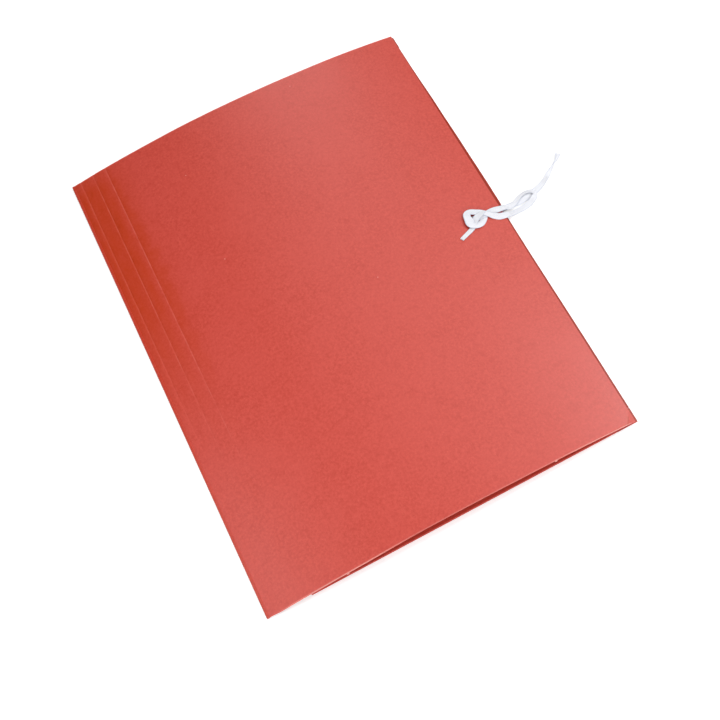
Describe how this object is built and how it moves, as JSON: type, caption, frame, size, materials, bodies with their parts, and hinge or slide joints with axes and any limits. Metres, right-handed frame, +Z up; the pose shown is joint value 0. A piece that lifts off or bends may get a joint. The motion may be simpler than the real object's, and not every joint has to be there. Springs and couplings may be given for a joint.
{
  "type": "three flap folder",
  "caption": "Flat board folder with a scored spine, a front cover over top, bottom and side flaps, and cotton tapes that tie at the fore-edge.",
  "frame": {"origin": "on the surface the folder lies on, under the middle of the back cover", "axes": "+X from the spine to the fore-edge, +Y along the spine to the top edge, +Z up through the front cover"},
  "size_m": [0.2925, 0.32, 0.0131],
  "materials": {
    "red_board": "matt",
    "cotton_tape": "woven, matt",
    "patch_paper": "matt"
  },
  "bodies": {
    "back_cover": {"back_cover": "red_board", "spine_fold": "red_board", "top_flap_fold": "red_board", "bottom_flap_fold": "red_board", "side_flap_fold": "red_board", "back_tape": "cotton_tape", "back_tape_patch": "patch_paper"},
    "spine_strip_1": {"spine_strip_1": "red_board"},
    "spine_strip_2": {"spine_strip_2": "red_board"},
    "spine_strip_3": {"spine_strip_3": "red_board"},
    "front_cover": {"front_cover": "red_board", "front_tape_knot": "cotton_tape", "front_tape_inner_end": "cotton_tape", "front_tape_tail": "cotton_tape", "front_tape_upper_strand": "cotton_tape", "front_tape_lower_strand": "cotton_tape", "front_tape_patch": "patch_paper"},
    "top_flap": {"top_flap": "red_board"},
    "bottom_flap": {"bottom_flap": "red_board"},
    "side_flap": {"side_flap": "red_board"}
  },
  "joints": [
    {"name": "spine_fold_hinge", "type": "hinge", "parent": "back_cover", "child": "spine_strip_1", "pos_m": [-0.11925, 0, 0.00075], "axis": [0, -1, 0], "range_deg": [0, 166]},
    {"name": "score_1", "type": "hinge", "parent": "spine_strip_1", "child": "spine_strip_2", "pos_m": [-0.11334, 0, 0.00269], "axis": [0, -1, 0], "range_deg": [0, 2.5]},
    {"name": "score_2", "type": "hinge", "parent": "spine_strip_2", "child": "spine_strip_3", "pos_m": [-0.10403, 0, 0.00458], "axis": [0, -1, 0], "range_deg": [0, 2.5]},
    {"name": "score_3", "type": "hinge", "parent": "spine_strip_3", "child": "front_cover", "pos_m": [-0.09465, 0, 0.00607], "axis": [0, -1, 0], "range_deg": [0, 1]},
    {"name": "side_flap_hinge", "type": "hinge", "parent": "back_cover", "child": "side_flap", "pos_m": [0.11925, 0, 0.00075], "axis": [0, 1, 0], "range_deg": [0, 166]},
    {"name": "top_flap_hinge", "type": "hinge", "parent": "back_cover", "child": "top_flap", "pos_m": [0.0105, 0.15925, 0.00075], "axis": [-1, 0, 0], "range_deg": [0, 175]},
    {"name": "bottom_flap_hinge", "type": "hinge", "parent": "back_cover", "child": "bottom_flap", "pos_m": [0.0105, -0.15925, 0.00075], "axis": [1, 0, 0], "range_deg": [0, 175]}
  ],
  "couplings": [
    {"joint": "side_flap_hinge", "follows": "spine_fold_hinge", "ratio": 1},
    {"joint": "top_flap_hinge", "follows": "spine_fold_hinge", "ratio": 1.05},
    {"joint": "bottom_flap_hinge", "follows": "spine_fold_hinge", "ratio": 1.05}
  ]
}
